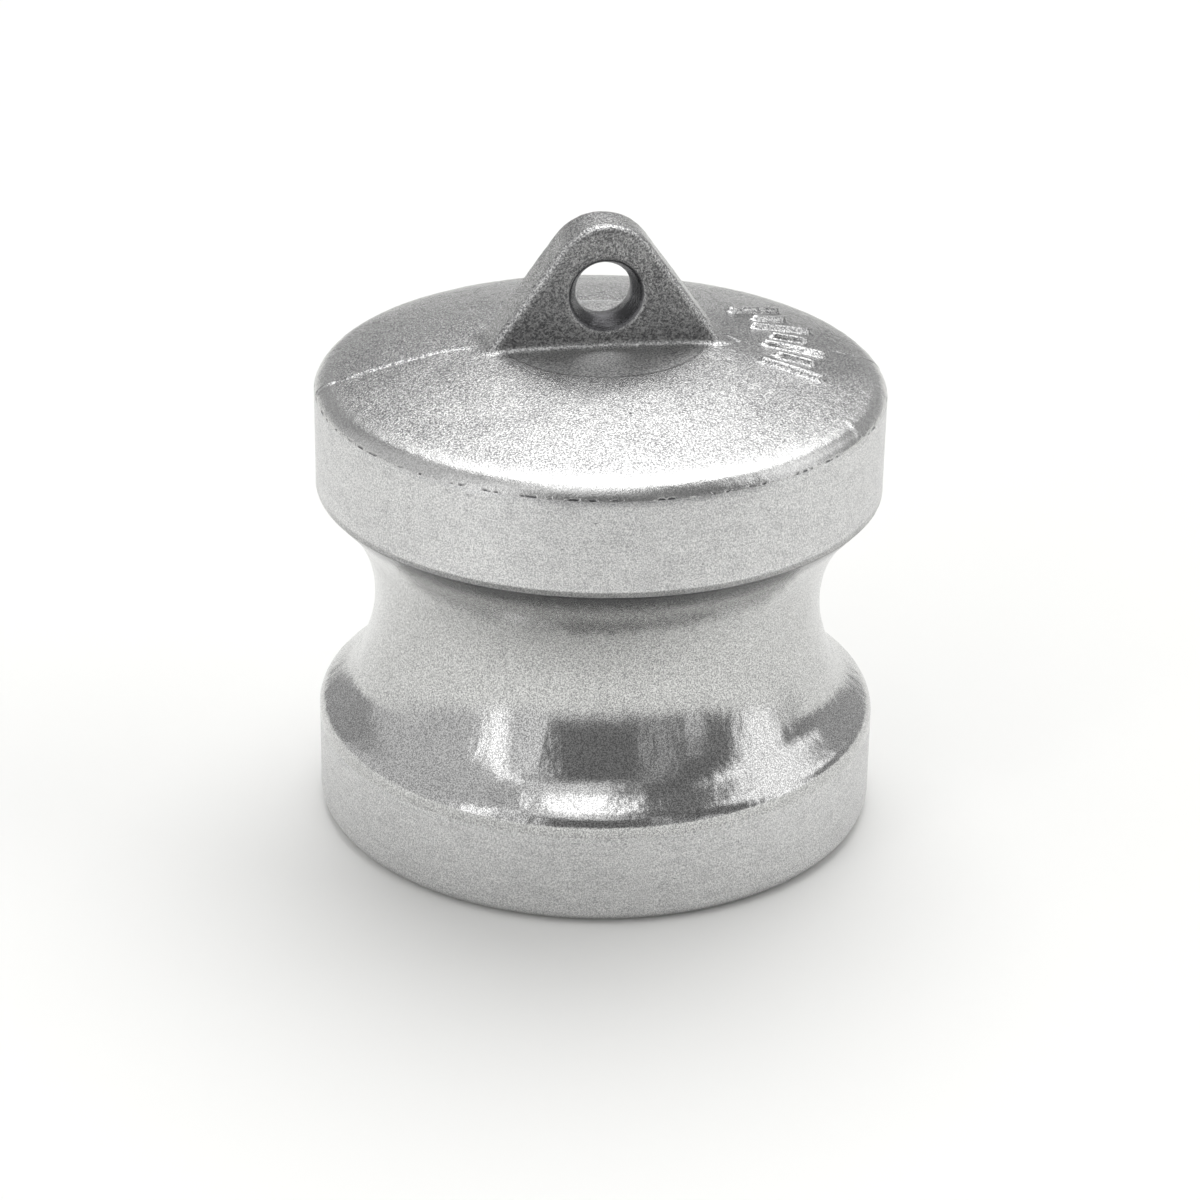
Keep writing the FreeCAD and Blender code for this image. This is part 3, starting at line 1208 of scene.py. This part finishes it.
@dataclass(frozen=True)
class CoredHollow(Finish):
    """Cast aluminium against a sand core: dull, coarse and darker, with sand marks."""

    name: str = "cast_aluminium_sand_cored"
    pale: str = "#B4B4B3"
    dark: str = "#5C5C5D"
    roughness: tuple[float, float] = (0.42, 0.58)
    grain: float = 0.7 * MM
    grain_depth: float = 0.10 * MM
    cloud: float = 6 * MM

    def surface(self, tree: bpy.types.NodeTree, place: bpy.types.NodeSocket) -> tuple:
        """Adds sand grain and cloudy staining.

        Args:
            tree: The material's node tree.
            place: The output that gives a point's place, in metres.

        Returns:
            The outputs of the height, the stain and the sheen.
        """
        grain = patches(tree, place, self.grain, Roughness=0.65)
        cloud = patches(tree, place, self.cloud)
        stain = eased(tree, grain, 0.5, 0.3, 0.5)
        stain = worked(tree, "ADD", stain, eased(tree, cloud, 0.4, 0.8, 0.4))
        return worked(tree, "MULTIPLY", grain, self.grain_depth * 2), stain, cloud


FINISHES: Mapping[Zone, Finish] = {
    Zone.CAST_SKIN: AsCastSkin(),
    Zone.TURNED_BAND: TurnedBand(),
    Zone.CAM_GROOVE: MouldedGroove(),
    Zone.SEALING_FACE: FacedSeal(),
    Zone.CORED_HOLLOW: CoredHollow(),
}


@dataclass(frozen=True)
class Panel:
    """A soft-edged lit part of the room's walls, by the angles that it covers, in degrees.

    Azimuth 0 is behind the camera and grows towards the right of the frame.
    """

    azimuth: float
    half_width: float
    low: float
    high: float
    brightness: float
    softness: float = 6.0


@dataclass(frozen=True)
class SoftBox:
    """A round soft light overhead, by the direction of its middle and its reach, in degrees."""

    azimuth: float
    elevation: float
    half_width: float
    brightness: float
    softness: float = 4.0


@dataclass
class Studio:
    """A white table in a pale room with two soft lights overhead, and the camera."""

    camera_azimuth: float = -9.5
    camera_elevation: float = 25.67
    camera_distance: float = 415 * MM
    camera_target: tuple[float, float, float] = (0.0, 0.0, 25 * MM)
    camera_lens: float = 110.1
    camera_yaw: float = -0.0434  # small turns that settle the plug in the frame, in degrees
    camera_pitch: float = -0.1288
    camera_roll: float = 0.951
    floor_colour: str = "#F9F9F7"
    floor_roughness: float = 0.7
    floor_half: float = 6.0  # metres, so that its far edges are out of sight
    floor_front: float = 162 * MM  # from the plug's axis to the table's front edge
    backdrop: float = 1.0  # what the camera itself sees behind the table
    front_wall: float = 0.2  # the room's own light, behind the camera and opposite it
    back_wall: float = 0.45
    wall_blend: tuple[float, float] = (-0.3, 0.9)
    gain: float = 1.07
    softboxes: tuple[SoftBox, ...] = (
        SoftBox(170.0, 61.5, 25.5, 2.9),  # the large one, behind and above
        SoftBox(-15.0, 80.0, 12.0, 2.1, 4.0),  # the one over the table's front
    )
    panels: tuple[Panel, ...] = (
        Panel(-75.0, 48.0, -20.0, 72.0, 0.66, 10.0),  # the pale wall on the left
        Panel(-47.0, 4.0, -20.0, 56.0, 2.0, 3.0),  # a tall narrow window in it
        Panel(-28.0, 3.6, -20.0, 40.0, 1.1, 3.0),  # and a narrower one beside it
        Panel(-10.0, 45.0, -25.0, -3.0, 0.6, 8.0),  # the floor beyond the table
        Panel(-12.0, 30.0, 48.0, 100.0, 0.95, 14.0),  # the overhead light's skirt in front
        Panel(82.0, 12.0, -20.0, 56.0, 1.3, 4.0),  # the wide window on the right
        Panel(106.0, 14.0, 22.0, 60.0, 1.3, 6.0),  # and the one above the door
        Panel(30.0, 3.0, -5.0, 50.0, 0.6, 2.0),  # a door's edge on the right in front
        Panel(46.0, 3.0, -20.0, 12.0, 0.8, 3.0),  # the light that falls through it
    )

    def facing(self, azimuth: float, elevation: float) -> Vector:
        """The unit vector towards an azimuth, counted from the lug's front, and an elevation."""
        a, e = math.radians(azimuth), math.radians(elevation)
        return Vector((math.sin(a) * math.cos(e), -math.cos(a) * math.cos(e), math.sin(e)))

    def lit_share(
        self, tree: bpy.types.NodeTree, way: bpy.types.NodeSocket, panel: Panel
    ) -> bpy.types.NodeSocket:
        """Adds nodes for a wall panel's light.

        Args:
            tree: The world's node tree.
            way: The output of the direction that the light comes from.
            panel: The panel.

        Returns:
            The output of the panel's brightness.
        """
        z = add_node(tree, "SeparateXYZ", {}, {"Vector": way}).outputs["Z"]
        level = add_node(tree, "VectorMath", {"operation": "MULTIPLY"}, {0: way, 1: (1.0, 1.0, 0.0)})
        level = add_node(tree, "VectorMath", {"operation": "NORMALIZE"}, {0: level.outputs["Vector"]})
        towards = add_node(
            tree,
            "VectorMath",
            {"operation": "DOT_PRODUCT"},
            {0: level.outputs["Vector"], 1: self.facing(panel.azimuth + self.camera_azimuth, 0)},
        )
        soft = panel.softness
        sides = [math.cos(math.radians(max(panel.half_width + off, 0))) for off in (soft, -soft)]
        foot = [math.sin(math.radians(panel.low + off)) for off in (-soft, soft)]
        head = [math.sin(math.radians(min(panel.high + off, 90))) for off in (soft, -soft)]
        within = worked(
            tree,
            "MULTIPLY",
            eased(tree, towards.outputs["Value"], *sides),
            eased(tree, z, *foot),
        )
        if panel.high < 90:
            within = worked(tree, "MULTIPLY", within, eased(tree, z, *head))
        return worked(tree, "MULTIPLY", within, panel.brightness)

    def light_room(self) -> None:
        """Makes the room's light: the soft boxes, the wall panels and a dimmer room behind them."""
        world = bpy.data.worlds.new("studio_room")
        bpy.context.scene.world = world
        world.use_nodes = True
        tree = world.node_tree
        tree.nodes.clear()
        way = add_node(tree, "TexCoord").outputs["Generated"]
        away = -self.facing(self.camera_azimuth, 0)
        depth = add_node(tree, "VectorMath", {"operation": "DOT_PRODUCT"}, {0: way, 1: away})
        light = add_node(
            tree,
            "MapRange",
            {"interpolation_type": "SMOOTHSTEP"},
            {
                "Value": depth.outputs["Value"],
                "From Min": self.wall_blend[0],
                "From Max": self.wall_blend[1],
                "To Min": self.front_wall,
                "To Max": self.back_wall,
            },
        ).outputs["Result"]
        for box in self.softboxes:
            axis = self.facing(box.azimuth + self.camera_azimuth, box.elevation)
            over = add_node(tree, "VectorMath", {"operation": "DOT_PRODUCT"}, {0: way, 1: axis})
            edge = [
                math.cos(math.radians(box.half_width + beyond)) for beyond in (box.softness, -box.softness)
            ]
            cap = eased(tree, over.outputs["Value"], *edge, box.brightness)
            light = worked(tree, "MAXIMUM", light, cap)
        for panel in self.panels:
            light = worked(tree, "MAXIMUM", light, self.lit_share(tree, way, panel))
        light = worked(tree, "MULTIPLY", light, self.gain)
        seen = add_node(tree, "LightPath").outputs["Is Camera Ray"]
        shown = add_node(
            tree, "Mix", {"data_type": "FLOAT"}, {"Factor": seen, "A": light, "B": self.backdrop}
        )
        background = add_node(
            tree, "Background", {}, {"Color": linear("#FFFFFF"), "Strength": shown.outputs["Result"]}
        )
        add_node(tree, "OutputWorld", {}, {"Surface": background.outputs["Background"]})

    def lay_floor(self) -> None:
        """Makes the pale table top that the plug stands on, with its front edge towards the camera."""
        ahead, aside = self.facing(self.camera_azimuth, 0), self.facing(self.camera_azimuth + 90, 0)
        corners = [
            ahead * forward + aside * across
            for forward, across in (
                (self.floor_front, -self.floor_half),
                (self.floor_front, self.floor_half),
                (-self.floor_half, self.floor_half),
                (-self.floor_half, -self.floor_half),
            )
        ]
        data = bpy.data.meshes.new("table_top")
        data.from_pydata(corners, [], [(0, 1, 2, 3)])
        floor = bpy.data.objects.new("table_top", data)
        bpy.context.scene.collection.objects.link(floor)
        coat = bpy.data.materials.new("matt_white_laminate")
        coat.use_nodes = True
        shader = coat.node_tree.nodes["Principled BSDF"]
        shader.inputs["Base Color"].default_value = linear(self.floor_colour)
        shader.inputs["Roughness"].default_value = self.floor_roughness
        data.materials.append(coat)

    def place_camera(self) -> None:
        """Stands the camera in front of the plug and a little to its left, looking down."""
        back = self.facing(self.camera_azimuth, self.camera_elevation)
        lens = bpy.data.cameras.new("camera")
        lens.lens = self.camera_lens
        lens.clip_start = 10 * MM
        lens.clip_end = 4 * self.floor_half
        camera = bpy.data.objects.new("camera", lens)
        bpy.context.scene.collection.objects.link(camera)
        turn = (-back).to_track_quat("-Z", "Y").to_matrix()
        turn = turn @ Matrix.Rotation(math.radians(self.camera_yaw), 3, "Y")
        turn = turn @ Matrix.Rotation(math.radians(self.camera_pitch), 3, "X")
        turn = turn @ Matrix.Rotation(math.radians(self.camera_roll), 3, "Z")
        camera.rotation_euler = turn.to_euler()
        camera.location = Vector(self.camera_target) + back * self.camera_distance
        bpy.context.scene.camera = camera


def main() -> None:
    """Builds the studio and the plug."""
    logging.basicConfig(level=logging.INFO, format="%(name)s: %(message)s")
    studio = Studio()
    studio.place_camera()
    studio.light_room()
    studio.lay_floor()
    log.info("studio: camera, room light and table top")

    casting = PlugCasting().piece()
    for zone in Zone:
        casting.data.materials.append(FINISHES[zone].material())
    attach(casting, BODY)
    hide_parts(NODE)
    counts = len(casting.data.vertices), len(casting.data.polygons)
    log.info("%s: %d points, %d faces", casting.name, *counts)

    bpy.context.scene.view_settings.view_transform = "Standard"


if __name__ == "__main__":
    main()
